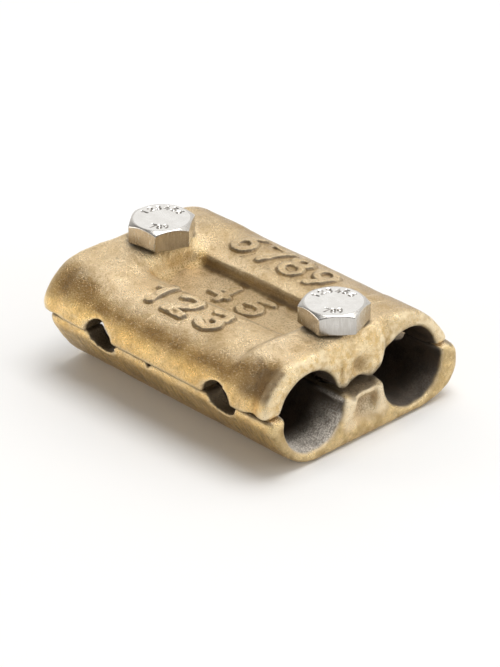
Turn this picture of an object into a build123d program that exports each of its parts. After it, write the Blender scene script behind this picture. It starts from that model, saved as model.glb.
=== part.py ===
# Parallel groove clamp: two sand-cast bronze jaws held together by two M10 hex-head bolts.
# Own frame: millimetres, +X along the conductor grooves, +Z up towards the bolt heads,
# z = 0 on the flat underside of the lower jaw, x = y = 0 midway between the two bolts.
import os
from math import sqrt

from build123d import *

os.makedirs("parts", exist_ok=True)

# ---------------------------------------------------------------- driving dimensions
JAW_LEN = 88.6          # length of each casting along the grooves
UPPER_DX = -0.9         # the upper casting sits this far along X
LOWER_DX = 1.2          # and the lower one this far: the two never line up exactly
END_ROUND = 2.2         # rounding of the outer edges of the end faces
BEARING_Z = 30.6        # seat of the bolt heads
BOLT_X = 33.6           # half the bolt spacing

GROOVE_R = 10.2         # conductor groove
GROOVE_A_Y, GROOVE_A_Z = -17.9, 14.4
GROOVE_B_Y, GROOVE_B_Z = 18.9, 13.7
MOUTH_R = 11.5          # bell mouth of a groove at the end faces
MOUTH_LEN = 6.5

SEAM_A_Z = 17.1         # lips meet here on the -Y side
SEAM_B_Z = 15.3         # and here on the +Y side
WEB_UP_Z = 17.8         # underside of the upper web
WEB_LOW_Z = 14.9        # top of the lower web

FLOOR_Z = 23.9          # floor of the pocket between the bolts
POCKET = [(-26.0, -11.2), (26.8, -8.3), (26.8, 6.3), (-26.0, 5.4)]
POCKET_DRAFT = 9.0

BAND_X0, BAND_X1 = -25.5, 27.4   # the raised end bands stop here

THREAD_R = 5.0          # M10
UP_HOLE_R = 5.5         # clearance hole through the upper jaw
LOW_HOLE_R = 5.06       # tapped hole of the lower jaw, drawn at the major diameter
BOLT_LEN = 30.0
HEAD_AF = 17.0
HEAD_K = 6.4
WASHER_K = 0.4
WASHER_R = 7.9
HEX_TURN = (6.96, -8.87)

# outline of the upper casting in (y, z), from the -Y lip over the top to the +Y lip
BAND_TOP = [(-34.9, SEAM_A_Z), (-35.1, 18.8), (-34.5, 22.0), (-32.2, 25.4), (-29.0, 28.2),
            (-25.4, 29.9), (-21.0, 30.55)]
BAND_TOP_B = [(14.5, 30.55), (19.5, 29.9), (23.6, 28.4), (27.2, 25.9), (30.6, 22.6),
              (33.4, 18.9), (34.6, 16.6), (34.6, SEAM_B_Z)]
# the wings between the end bands lie a little lower and fall towards the pocket
WING_A = [(-34.0, 23.2), (-31.9, 25.55), (-29.6, 27.0), (-25.6, 28.5), (-21.0, 28.9),
          (-15.0, 28.5), (-7.0, 26.8)]
WING_B = [(5.0, 26.8), (11.0, 28.2), (16.0, 28.6), (20.5, 28.2), (24.4, 26.9), (27.4, 25.4),
          (30.6, 22.7)]
# the same line lifted clear of the end bands, where the ramps run out
RISE_A = [(-36.0, 24.0), (-33.5, 27.2), (-30.0, 29.5), (-25.9, 31.2), (-21.0, 31.6),
          (-15.0, 31.6), (-7.0, 31.6)]
RISE_B = [(5.0, 31.6), (11.0, 31.6), (16.0, 31.6), (21.0, 31.0), (26.0, 29.3), (29.5, 27.2),
          (33.0, 24.0)]
RAMP_0, RAMP_1 = 4.0, 1.5

# outline of the lower casting, from the -Y lip under the bottom to the +Y lip
LOW_SIDE_A = [(-33.9, SEAM_A_Z), (-34.2, 15.6), (-32.7, 12.0), (-30.5, 8.4), (-28.2, 5.4),
              (-25.9, 3.1), (-23.3, 1.4), (-20.2, 0.3), (-16.5, 0.0)]
LOW_SIDE_B = [(21.5, 0.0), (26.0, 0.35), (29.8, 1.3), (33.0, 3.0), (35.3, 5.6),
              (36.4, 8.6), (36.5, 11.4), (35.9, 13.6), (34.8, SEAM_B_Z)]

# notches through the lips, one pair on each side of the clamp
NOTCH_UP_X = (-22.0, 24.2)
NOTCH_LOW_X = (-21.3, 25.8)
NOTCH_W = 11.0
NOTCH_UP_H = 5.0
NOTCH_LOW_H = 4.0

UPPER_X0 = -JAW_LEN / 2 + UPPER_DX
LOWER_X0 = -JAW_LEN / 2 + LOWER_DX
GROOVES = ((GROOVE_A_Y, GROOVE_A_Z), (GROOVE_B_Y, GROOVE_B_Z))

# ---------------------------------------------------------------- lower jaw
with BuildPart() as lower_jaw:
    with BuildSketch(Plane.YZ.offset(LOWER_X0)):
        with BuildLine():
            Spline(*LOW_SIDE_A)
            Line(LOW_SIDE_A[-1], LOW_SIDE_B[0])
            Spline(*LOW_SIDE_B)
            Polyline(
                LOW_SIDE_B[-1],
                (GROOVE_B_Y, SEAM_B_Z),
                (GROOVE_B_Y, WEB_LOW_Z - 2.8),
                (10.4, WEB_LOW_Z - 2.8),
            )
            Spline((10.4, WEB_LOW_Z - 2.8), (7.5, WEB_LOW_Z - 0.5), (4.6, WEB_LOW_Z), tangents=((-0.6, 1), (-1, 0)))
            Line((4.6, WEB_LOW_Z), (-4.0, WEB_LOW_Z))
            Spline((-4.0, WEB_LOW_Z), (-6.7, WEB_LOW_Z - 0.4), (-9.6, WEB_LOW_Z - 2.4), tangents=((-1, 0), (-0.6, -1)))
            Polyline(
                (-9.6, WEB_LOW_Z - 2.4),
                (GROOVE_A_Y, WEB_LOW_Z - 2.4),
                (GROOVE_A_Y, SEAM_A_Z),
                LOW_SIDE_A[0],
            )
        make_face()
    extrude(amount=JAW_LEN)
    ends = lower_jaw.edges().filter_by(
        lambda e: abs(abs(e.center().X - LOWER_DX) - JAW_LEN / 2) < 0.001
        and e.center().Z < 12.0 and e.length > 15.0)
    fillet(ends, radius=END_ROUND)
    # tapped holes
    with Locations((-BOLT_X, 0, WEB_LOW_Z / 2), (BOLT_X, 0, WEB_LOW_Z / 2)):
        Cylinder(LOW_HOLE_R, WEB_LOW_Z + 4, mode=Mode.SUBTRACT)
    # grooves: round below their axis, straight-sided above it
    for gy, gz in GROOVES:
        with BuildSketch(Plane.YZ.offset(LOWER_X0 - 1)):
            with Locations((gy, gz)):
                Circle(GROOVE_R)
            with Locations((gy, gz + 3)):
                Rectangle(2 * GROOVE_R, 6)
        extrude(amount=JAW_LEN + 2, mode=Mode.SUBTRACT)
    # bell mouths
    for gy, gz in GROOVES:
        for xe, s in ((LOWER_X0, 1), (LOWER_X0 + JAW_LEN, -1)):
            with BuildSketch(Plane((0, gy, gz), x_dir=(1, 0, 0), z_dir=(0, -1, 0))):
                with BuildLine():
                    a = (xe + s * MOUTH_LEN, GROOVE_R)
                    m = (xe + s * MOUTH_LEN * 0.45, GROOVE_R + 0.33 * (MOUTH_R - GROOVE_R))
                    b = (xe, MOUTH_R)
                    Spline(a, m, b, tangents=((-s, 0), (-s, 0.5)))
                    Polyline(b, (xe - s * 1.0, MOUTH_R + 0.5), (xe - s * 1.0, 0),
                             (xe + s * MOUTH_LEN, 0), a)
                make_face()
            revolve(axis=Axis((0, gy, gz), (1, 0, 0)), mode=Mode.SUBTRACT)
    # notches in the lips
    for nx in NOTCH_LOW_X:
        for y0, seam in ((-40.0, SEAM_A_Z), (GROOVE_B_Y, SEAM_B_Z)):
            with BuildSketch(Plane((nx, y0, seam), x_dir=(1, 0, 0), z_dir=(0, -1, 0))):
                with BuildLine():
                    Spline((-NOTCH_W / 2, 1.0), (-NOTCH_W / 2 + 0.5, -0.4), (-2.0, -NOTCH_LOW_H + 0.6),
                           (0.9, -NOTCH_LOW_H), (3.6, -NOTCH_LOW_H + 0.9), (NOTCH_W / 2, 1.0))
                    Line((NOTCH_W / 2, 1.0), (-NOTCH_W / 2, 1.0))
                make_face()
            extrude(amount=-(40.0 - abs(GROOVE_A_Y)), mode=Mode.SUBTRACT)
    # small three-cornered casting nick at the seam
    with BuildSketch(Plane((-2.6, -36.0, SEAM_A_Z), x_dir=(1, 0, 0), z_dir=(0, -1, 0))):
        with BuildLine():
            Polyline((-1.3, 0.5), (1.5, 0.5), (-0.2, -2.0), close=True)
        make_face()
    extrude(amount=-5.0, mode=Mode.SUBTRACT)
    # dimples in the end faces of the web
    for xe, turn in ((LOWER_X0 - 3.4, 180), (LOWER_X0 + JAW_LEN + 3.4, 0)):
        with Locations((xe, 0.7, 8.3)):
            Sphere(5.8, rotation=(0, 0, turn), mode=Mode.SUBTRACT)
lower_jaw.part.label = "lower_jaw"

# ---------------------------------------------------------------- upper jaw
with BuildPart() as upper_jaw:
    with BuildSketch(Plane.YZ.offset(UPPER_X0)):
        with BuildLine():
            Spline(*BAND_TOP, (-17.0, BEARING_Z))
            Line((-17.0, BEARING_Z), (9.5, BEARING_Z))
            Spline((9.5, BEARING_Z), *BAND_TOP_B)
            Polyline(
                BAND_TOP_B[-1],
                (GROOVE_B_Y, SEAM_B_Z),
                (GROOVE_B_Y, WEB_UP_Z + 1.9),
                (11.2, WEB_UP_Z + 1.9),
            )
            Spline((11.2, WEB_UP_Z + 1.9), (8.3, WEB_UP_Z + 0.3), (5.4, WEB_UP_Z), tangents=((-0.8, -1), (-1, 0)))
            Line((5.4, WEB_UP_Z), (-4.6, WEB_UP_Z))
            Spline((-4.6, WEB_UP_Z), (-7.3, WEB_UP_Z + 0.3), (-10.2, WEB_UP_Z + 1.9), tangents=((-1, 0), (-0.8, 1)))
            Polyline(
                (-10.2, WEB_UP_Z + 1.9),
                (GROOVE_A_Y, WEB_UP_Z + 1.9),
                (GROOVE_A_Y, SEAM_A_Z),
                BAND_TOP[0],
            )
        make_face()
    extrude(amount=JAW_LEN)
    ends = upper_jaw.edges().filter_by(
        lambda e: abs(abs(e.center().X - UPPER_DX) - JAW_LEN / 2) < 0.001
        and e.center().Z > 22.0 and e.length > 10.0)
    fillet(ends, radius=END_ROUND)
    # clearance holes
    with Locations((-BOLT_X, 0, BEARING_Z - 6), (BOLT_X, 0, BEARING_Z - 6)):
        Cylinder(UP_HOLE_R, 18, mode=Mode.SUBTRACT)
    # wings: everything above their line goes, with a ramp up to each end band
    with BuildSketch(Plane.YZ.offset(BAND_X0)):
        with BuildLine():
            Spline(*WING_A)
            Line(WING_A[-1], WING_B[0])
            Spline(*WING_B)
            Polyline(WING_B[-1], (40.0, 24.0), (40.0, 36.0), (-40.0, 36.0), (-40.0, 24.0), WING_A[0])
        make_face()
    extrude(amount=BAND_X1 - BAND_X0, mode=Mode.SUBTRACT)
    for x0, x1 in ((BAND_X0, BAND_X0 - RAMP_0), (BAND_X1, BAND_X1 + RAMP_1)):
        for x, wa, wb in ((x0, WING_A, WING_B), (x1, RISE_A, RISE_B)):
            with BuildSketch(Plane.YZ.offset(x)):
                with BuildLine():
                    Spline(*wa)
                    Line(wa[-1], wb[0])
                    Spline(*wb)
                    Polyline(wb[-1], (40.0, 24.0), (40.0, 36.0), (-40.0, 36.0), (-40.0, 24.0), wa[0])
                make_face()
        loft(ruled=True, mode=Mode.SUBTRACT)
    # pocket between the bolts
    with BuildSketch(Plane.XY.offset(FLOOR_Z)):
        with BuildLine():
            Polyline(*POCKET, close=True)
        make_face()
        fillet(vertices(), radius=1.4)
    extrude(amount=BEARING_Z - FLOOR_Z + 1, taper=-POCKET_DRAFT, mode=Mode.SUBTRACT)
    # grooves
    for gy, gz in GROOVES:
        with BuildSketch(Plane.YZ.offset(UPPER_X0 - 1)):
            with Locations((gy, gz)):
                Circle(GROOVE_R)
        extrude(amount=JAW_LEN + 2, mode=Mode.SUBTRACT)
    # bell mouths
    for gy, gz in GROOVES:
        for xe, s in ((UPPER_X0, 1), (UPPER_X0 + JAW_LEN, -1)):
            with BuildSketch(Plane((0, gy, gz), x_dir=(1, 0, 0), z_dir=(0, -1, 0))):
                with BuildLine():
                    a = (xe + s * MOUTH_LEN, GROOVE_R)
                    m = (xe + s * MOUTH_LEN * 0.45, GROOVE_R + 0.33 * (MOUTH_R - GROOVE_R))
                    b = (xe, MOUTH_R)
                    Spline(a, m, b, tangents=((-s, 0), (-s, 0.5)))
                    Polyline(b, (xe - s * 1.0, MOUTH_R + 0.5), (xe - s * 1.0, 0),
                             (xe + s * MOUTH_LEN, 0), a)
                make_face()
            revolve(axis=Axis((0, gy, gz), (1, 0, 0)), mode=Mode.SUBTRACT)
    # notches in the lips
    for nx in NOTCH_UP_X:
        for y0, seam in ((-40.0, SEAM_A_Z), (GROOVE_B_Y, SEAM_B_Z)):
            with BuildSketch(Plane((nx, y0, seam), x_dir=(1, 0, 0), z_dir=(0, -1, 0))):
                with BuildLine():
                    Spline((-NOTCH_W / 2 - 0.2, -1.0), (-NOTCH_W / 2, 0.0), (-3.4, NOTCH_UP_H - 1.2),
                           (0.4, NOTCH_UP_H), (3.6, NOTCH_UP_H - 1.4), (NOTCH_W / 2, -1.0))
                    Line((NOTCH_W / 2, -1.0), (-NOTCH_W / 2 - 0.2, -1.0))
                make_face()
            extrude(amount=-(40.0 - abs(GROOVE_A_Y)), mode=Mode.SUBTRACT)
    # shallow dimples in the end faces of the web
    for xe, turn in ((UPPER_X0 - 2.6, 180), (UPPER_X0 + JAW_LEN + 2.6, 0)):
        with Locations((xe, 0.6, 21.2)):
            Sphere(4.0, rotation=(0, 0, turn), mode=Mode.SUBTRACT)
upper_jaw.part.label = "upper_jaw"

# ---------------------------------------------------------------- bolts
def bolt_at(x, turn):
    with BuildPart() as bolt:
        with BuildSketch(Plane.XY.offset(BEARING_Z)):
            with Locations((x, 0)):
                Circle(WASHER_R)
        extrude(amount=WASHER_K)
        with BuildSketch(Plane.XY.offset(BEARING_Z + WASHER_K)):
            with Locations((x, 0)):
                RegularPolygon(HEAD_AF / 2, 6, major_radius=False, rotation=turn)
        extrude(amount=HEAD_K - WASHER_K)
        # 30 degree chamfer of the head
        rc = HEAD_AF / sqrt(3) + 0.5
        rt = HEAD_AF / 2 * 0.95
        top = BEARING_Z + HEAD_K
        drop = (rc - rt) * 0.5774
        with BuildSketch(Plane((x, 0, 0), x_dir=(1, 0, 0), z_dir=(0, -1, 0))):
            with BuildLine():
                Polyline((0, BEARING_Z - 1), (rc, BEARING_Z - 1), (rc, top - drop), (rt, top),
                         (0, top), close=True)
            make_face()
        revolve(axis=Axis((x, 0, 0), (0, 0, 1)), mode=Mode.INTERSECT)
        with BuildSketch(Plane.XY.offset(BEARING_Z)):
            with Locations((x, 0)):
                Circle(THREAD_R)
        extrude(amount=-BOLT_LEN)
        tip = bolt.edges().group_by(Axis.Z)[0]
        chamfer(tip, length=0.9)
    return bolt.part


bolt_1 = bolt_at(-BOLT_X, HEX_TURN[0])
bolt_1.label = "bolt_1"
bolt_2 = bolt_at(BOLT_X, HEX_TURN[1])
bolt_2.label = "bolt_2"

export_step(lower_jaw.part, "parts/lower_jaw.step")
export_step(upper_jaw.part, "parts/upper_jaw.step")
export_step(bolt_1, "parts/bolt_1.step")
export_step(bolt_2, "parts/bolt_2.step")
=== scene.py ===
# Looks of the parallel groove clamp: two sand-cast bronze jaws and two stainless hex-head bolts.
import math

import bmesh
import bpy
import numpy as np
from mathutils import Matrix, Vector


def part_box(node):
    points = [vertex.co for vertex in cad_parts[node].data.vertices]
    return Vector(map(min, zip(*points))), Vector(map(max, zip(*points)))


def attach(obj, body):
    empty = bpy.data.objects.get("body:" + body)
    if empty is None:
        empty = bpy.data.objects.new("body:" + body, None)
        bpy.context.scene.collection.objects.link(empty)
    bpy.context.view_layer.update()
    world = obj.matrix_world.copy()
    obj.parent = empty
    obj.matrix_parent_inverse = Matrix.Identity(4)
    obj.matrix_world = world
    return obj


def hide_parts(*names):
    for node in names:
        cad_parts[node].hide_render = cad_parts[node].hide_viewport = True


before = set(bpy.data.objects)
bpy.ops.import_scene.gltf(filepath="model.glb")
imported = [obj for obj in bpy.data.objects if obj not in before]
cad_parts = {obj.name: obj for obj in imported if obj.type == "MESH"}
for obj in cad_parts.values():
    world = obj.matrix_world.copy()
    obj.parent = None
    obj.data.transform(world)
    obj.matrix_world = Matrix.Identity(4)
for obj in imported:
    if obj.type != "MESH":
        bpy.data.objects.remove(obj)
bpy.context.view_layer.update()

MM = 0.001
scene = bpy.context.scene

# ------------------------------------------------------------------ dimensions (mm)
GROOVES = ((-17.9, 14.4), (18.9, 13.7))
GROOVE_R = 10.2
SEAM_A, SEAM_B = 17.1, 15.3
BEARING = 30.6
FLOOR_Z = 23.9
up_lo, up_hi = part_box("upper_jaw")
low_lo, low_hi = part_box("lower_jaw")
UX0, UX1 = up_lo.x / MM, up_hi.x / MM
LX0, LX1 = low_lo.x / MM, low_hi.x / MM
VOXEL = 0.55


# ------------------------------------------------------------------ small numeric helpers
def sstep(a, b, x):
    """smooth step from 0 at a to 1 at b; a may be the larger"""
    t = np.clip((x - a) / (b - a), 0.0, 1.0)
    return t * t * (3 - 2 * t)


def bump1(x, c, w):
    """smooth bell of half-width w round c"""
    return np.exp(-((x - c) / w) ** 2)


class Noise:
    """seeded gradient noise on points in mm"""

    def __init__(self, seed):
        rs = np.random.RandomState(seed)
        self.perm = np.tile(rs.permutation(512), 2)
        g = rs.normal(size=(512, 3))
        self.grad = g / np.linalg.norm(g, axis=1)[:, None]
        self.off = rs.uniform(0, 100, 3)

    def __call__(self, p, wave):
        q = p / wave + self.off
        i = np.floor(q).astype(np.int64)
        f = q - i
        u = f * f * f * (f * (f * 6 - 15) + 10)
        out = np.zeros(len(p))
        for dx in (0, 1):
            for dy in (0, 1):
                for dz in (0, 1):
                    k = self.perm[(i[:, 0] + dx) & 511]
                    k = self.perm[(k + i[:, 1] + dy) & 511]
                    k = self.perm[(k + i[:, 2] + dz) & 511]
                    d = f - np.array([dx, dy, dz])
                    w = (
                        (u[:, 0] if dx else 1 - u[:, 0])
                        * (u[:, 1] if dy else 1 - u[:, 1])
                        * (u[:, 2] if dz else 1 - u[:, 2])
                    )
                    out += w * np.einsum("ij,ij->i", self.grad[k], d)
        return out * 1.6


def get_co(me):
    a = np.zeros(len(me.vertices) * 3, np.float64)
    b = np.zeros(len(me.vertices) * 3, np.float32)
    me.vertices.foreach_get("co", b)
    a[:] = b
    return a.reshape(-1, 3) / MM


def set_co(me, co):
    me.vertices.foreach_set("co", (co * MM).astype(np.float32).ravel())
    me.update()


def get_no(me):
    b = np.zeros(len(me.vertices) * 3, np.float32)
    me.vertices.foreach_get("normal", b)
    return b.reshape(-1, 3).astype(np.float64)


def get_edges(me):
    e = np.zeros(len(me.edges) * 2, np.int32)
    me.edges.foreach_get("vertices", e)
    return e.reshape(-1, 2)


class Lap:
    def __init__(self, me):
        self.e = get_edges(me)
        self.n = len(me.vertices)
        self.deg = np.maximum(
            np.bincount(self.e[:, 0], minlength=self.n) + np.bincount(self.e[:, 1], minlength=self.n), 1
        )

    def mean(self, v):
        flat = v.ndim == 1
        v = v.reshape(self.n, -1)
        out = np.empty_like(v)
        for k in range(v.shape[1]):
            out[:, k] = (
                np.bincount(self.e[:, 0], weights=v[self.e[:, 1], k], minlength=self.n)
                + np.bincount(self.e[:, 1], weights=v[self.e[:, 0], k], minlength=self.n)
            ) / self.deg
        return out[:, 0] if flat else out

    def smooth(self, v, times, lam=0.5, mu=0.0, mask=None):
        v = v.copy()
        for _ in range(times):
            for s in (lam, mu):
                if s:
                    d = self.mean(v) - v
                    if mask is not None:
                        d = d * mask[:, None]
                    v = v + s * d
        return v


def attribute(me, name, values):
    if name in me.attributes:
        me.attributes.remove(me.attributes[name])
    a = me.attributes.new(name, "FLOAT", "POINT")
    a.data.foreach_set("value", np.asarray(values, np.float32))


# ------------------------------------------------------------------ plain numerals as strokes
def arc(cx, cy, rx, ry, a0, a1, n=12):
    t = np.radians(np.linspace(a0, a1, n))
    return [(cx + rx * math.cos(x), cy + ry * math.sin(x)) for x in t]


DIGITS = {
    "0": [arc(0.31, 0.5, 0.29, 0.5, 0, 360, 28)],
    "1": [[(0.12, 0.76), (0.36, 1.0), (0.36, 0.0)]],
    "2": [arc(0.31, 0.70, 0.29, 0.30, 165, -35, 14) + [(0.02, 0.0), (0.62, 0.0)]],
    "3": [arc(0.29, 0.76, 0.25, 0.24, 150, -80, 12), arc(0.29, 0.27, 0.30, 0.27, 85, -150, 14)],
    "4": [[(0.47, 0.0), (0.47, 1.0), (0.02, 0.32), (0.64, 0.32)]],
    "5": [[(0.58, 1.0), (0.10, 1.0), (0.06, 0.56)] + arc(0.29, 0.33, 0.30, 0.32, 120, -150, 16)],
    "6": [arc(0.31, 0.30, 0.28, 0.30, 0, 360, 22), [(0.04, 0.36), (0.14, 0.72), (0.46, 1.0)]],
    "7": [[(0.02, 1.0), (0.62, 1.0), (0.22, 0.0)]],
    "8": [arc(0.31, 0.75, 0.24, 0.25, 0, 360, 20), arc(0.31, 0.26, 0.29, 0.27, 0, 360, 22)],
    "9": [arc(0.31, 0.70, 0.28, 0.30, 0, 360, 22), [(0.58, 0.64), (0.48, 0.28), (0.16, 0.0)]],
}


def stroke_distance(xy, lines):
    """distance from points xy to a set of polylines"""
    best = np.full(len(xy), 1e9)
    for line in lines:
        line = np.array(line, float)
        for a, b in zip(line[:-1], line[1:]):
            d = b - a
            t = np.clip(((xy - a) @ d) / max(d @ d, 1e-12), 0, 1)
            best = np.minimum(best, np.hypot(*(xy - (a + t[:, None] * d)).T))
    return best


def placed(digit, x, y, height, width=1.0, turn=0.0, slant=0.0):
    """strokes of one numeral, its lower left corner at (x, y)"""
    c, s = math.cos(turn), math.sin(turn)
    out = []
    for line in DIGITS[digit]:
        pts = []
        for u, v in line:
            a, b = u * height * width + slant * v * height, v * height
            pts.append((x + c * a - s * b, y + s * a + c * b))
        out.append(pts)
    return out


# raised cast numerals on the upper jaw: (digit, x, y, height)
CAST_MARKS = [
    ("1", -15.8, -24.2, 9.0, 1.10, 2.7, 0.95),
    ("2", -6.2, -24.4, 9.2, 1.15, 2.6, 0.95),
    ("3", 5.4, -24.4, 9.2, 1.15, 2.6, 0.95),
    ("4", -10.8, -5.6, 8.4, 1.20, 2.1, 0.78),
    ("5", 1.2, -5.6, 8.4, 1.25, 2.1, 0.78),
    ("6", -20.6, 13.2, 9.4, 1.10, 2.1, 0.78),
    ("7", -11.0, 13.0, 9.4, 1.10, 2.1, 0.78),
    ("8", -1.6, 13.0, 9.4, 1.10, 2.1, 0.78),
    ("9", 8.2, 12.9, 9.4, 1.05, 2.1, 0.78),
]


EDGE_Y = -13.3  # the pocket's edge on the near wing, at x = 0

# ------------------------------------------------------------------ castings
def dense_copy(node, name):
    """closed, evenly meshed copy of a CAD node"""
    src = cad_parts[node]
    me = src.data.copy()
    bm = bmesh.new()
    bm.from_mesh(me)
    bmesh.ops.remove_doubles(bm, verts=bm.verts, dist=2e-6)
    bm.to_mesh(me)
    bm.free()
    tmp = bpy.data.objects.new("tmp_" + name, me)
    scene.collection.objects.link(tmp)
    m = tmp.modifiers.new("r", "REMESH")
    m.mode = "VOXEL"
    m.voxel_size = VOXEL * MM
    dg = bpy.context.evaluated_depsgraph_get()
    out = bpy.data.meshes.new_from_object(tmp.evaluated_get(dg))
    bpy.data.objects.remove(tmp)
    out.name = name
    out.materials.clear()
    ob = bpy.data.objects.new(name, out)
    scene.collection.objects.link(ob)
    return ob


def refine(me, inside):
    """halves the mesh spacing where inside(face centres in mm) holds"""
    bm = bmesh.new()
    bm.from_mesh(me)
    bm.faces.ensure_lookup_table()
    c = np.array([f.calc_center_median()[:] for f in bm.faces]) / MM
    n = np.array([f.normal[:] for f in bm.faces])
    keep = inside(c, n)
    edges = set()
    for i in np.nonzero(keep)[0]:
        edges.update(bm.faces[i].edges)
    bmesh.ops.subdivide_edges(bm, edges=list(edges), cuts=1, use_grid_fill=True)
    bm.to_mesh(me)
    bm.free()
    me.update()


def groove_depth(p):
    """how far inside the nearest groove's wall a point is taken: 1 on the wall and deeper, 0 well outside it"""
    best = np.zeros(len(p))
    for gy, gz in GROOVES:
        r = np.hypot(p[:, 1] - gy, p[:, 2] - gz)
        best = np.maximum(best, 1 - sstep(GROOVE_R + 0.9, GROOVE_R + 1.7, r))
    return best


def finish_mesh(me):
    me.polygons.foreach_set("use_smooth", np.ones(len(me.polygons), bool))
    me.update()


def curvature(me, lap, rings, co=None):
    """hollow > 0, ridge < 0, in mm of local depth"""
    co = get_co(me) if co is None else co
    no = get_no(me)
    sm = lap.smooth(co, rings, 0.5)
    return np.einsum("ij,ij->i", sm - co, no)


def build_upper():
    ob = dense_copy("upper_jaw", "cast_upper_jaw")
    me = ob.data
    lap = Lap(me)
    co = lap.smooth(get_co(me), 4, 0.55, -0.5)
    x, y, z = co.T
    # cast transitions: the ramps, the pocket's shoulders and end walls are well rounded
    keep = np.ones(len(co))
    for bx in (-33.6, 33.6):
        keep *= sstep(8.0, 9.5, np.hypot(x - bx, y))
    outside = sstep(21, 24, z)
    m = bump1(x, -26.5, 6.5) * outside * sstep(11.0, 13.0, np.abs(y - 0.0) + 0.0)
    m = np.maximum(m, 0.9 * bump1(y, -11.0, 3.0) * (np.abs(x) < 29) * sstep(23.0, 24.0, z))
    m = np.maximum(m, bump1(x, -27.0, 3.6) * (np.abs(y) < 13) * sstep(22.5, 23.2, z))
    co = lap.smooth(co, 90, 0.5, mask=m * keep)
    m = 0.7 * bump1(y, 6.4, 2.2) * (np.abs(x) < 29) * sstep(22.5, 23.2, z)
    m = np.maximum(m, 0.6 * bump1(x, 28.0, 2.5) * outside)
    end = np.minimum(x - UX0, UX1 - x)
    m = np.maximum(m, 0.9 * (1 - sstep(1.5, 4.0, end)))
    co = lap.smooth(co, 14, 0.5, mask=m * keep)
    set_co(me, co)

    def marks_region(c, n):
        top = n[:, 2] > 0.55
        x, y, z = c.T
        near = (x > -17.5) & (x < 15) & (y > -27) & (y < -13) & (z > 26)
        mid = (x > -13) & (x < 10) & (y > -7.6) & (y < 4.6) & (z > 23)
        far = (x > -23) & (x < 16) & (y > 11.4) & (y < 24.0) & (z > 25)
        return top & (near | mid | far)

    refine(me, marks_region)
    lap = Lap(me)
    co = lap.smooth(get_co(me), 2, 0.5, -0.45)
    set_co(me, co)
    no = get_no(me)
    n1, n2, n3 = Noise(11), Noise(12), Noise(13)
    x, y, z = co.T
    top = sstep(0.25, 0.8, no[:, 2]) * sstep(22.5, 24, z)
    groove = groove_depth(co)
    d = np.zeros(len(co))
    # hand-finished sand casting: soft waves and shallow pits
    d += 0.16 * n1(co, 13.0) + 0.07 * n2(co, 5.0) + 0.035 * n3(co, 2.2)
    # worn numerals
    mark = np.zeros(len(co))
    for digit, mx, my, h, w, sw, rise in CAST_MARKS:
        sel = (top > 0.2) & (np.abs(x - mx - h * 0.3) < h) & (np.abs(y - my - h / 2) < h)
        idx = np.nonzero(sel)[0]
        if not len(idx):
            continue
        xy = co[idx, :2].copy()
        xy[:, 0] += 0.24 * n2(co[idx], 2.6)
        xy[:, 1] += 0.24 * n3(co[idx], 2.9)
        dist = stroke_distance(xy, placed(digit, mx, my, h, w))
        wear = np.clip(0.85 + 0.6 * n1(co[idx], 4.6) + 0.25 * n2(co[idx], 1.6), 0.1, 1.0)
        up = (1 - sstep(sw * 0.42, sw * 0.42 + 0.6, dist)) * wear
        mark[idx] = np.maximum(mark[idx], up * rise)
        # the sand drags a little hollow round each stroke
        d[idx] -= 0.10 * np.exp(-(((dist - sw * 0.95) / (0.5 * sw)) ** 2))
    d += mark * top
    d *= 1 - 0.6 * groove
    # keep the seats of the bolt heads, the holes and the outer box where they are
    for bx in (-33.6, 33.6):
        r = np.hypot(x - bx, y)
        seat = (1 - sstep(8.4, 9.6, r)) * sstep(29.5, 30.0, z)
        d *= 1 - seat
        hole = 1 - sstep(5.8, 6.4, r)
        d *= 1 - hole
    seam = 1 - sstep(0.2, 1.4, np.minimum(np.abs(z - SEAM_A) + 9 * (y > 0), np.abs(z - SEAM_B) + 9 * (y < 0)))
    d = np.where(no[:, 2] < -0.3, np.minimum(d, 0) * 0.3, d) * (1 - 0.7 * seam)
    co2 = co + no * d[:, None]
    # sculpted end by end: s is the distance from the end face, e the end's outward sign
    cove_shade = np.zeros(len(co2))
    for e, xe in ((1, UX1), (-1, UX0)):
        k = 1.0 if e > 0 else 0.45
        x, y, z = co2.T
        s = (xe - x) * e
        outer = np.hypot(y - GROOVES[0][0], z - GROOVES[0][1])
        side = sstep(11.8, 12.8, outer) * (y < -14)
        # hollow behind the flared lip of the near groove, its rim left standing
        cove = bump1(s, 5.6, 2.4) * sstep(-23.5, -29.5, y) * side
        co2 -= no * (k * 1.1 * cove)[:, None]
        # painted shade in the hollow behind the near lip, weaker at the left end
        cove_shade += k * sstep(0.25, 1.3, s) * sstep(16.0, 7.0, s) * sstep(-24.8, -27.6, y + 0.6 * n2(co2, 3.0)) * side * sstep(20.5, 24.0, z)
        outer = np.hypot(y - GROOVES[1][0], z - GROOVES[1][1])
        cove = bump1(s, 5.0, 2.4) * sstep(24.0, 29.0, y) * (outer > 12.0)
        co2 -= no * (k * 0.45 * cove)[:, None]
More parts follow.
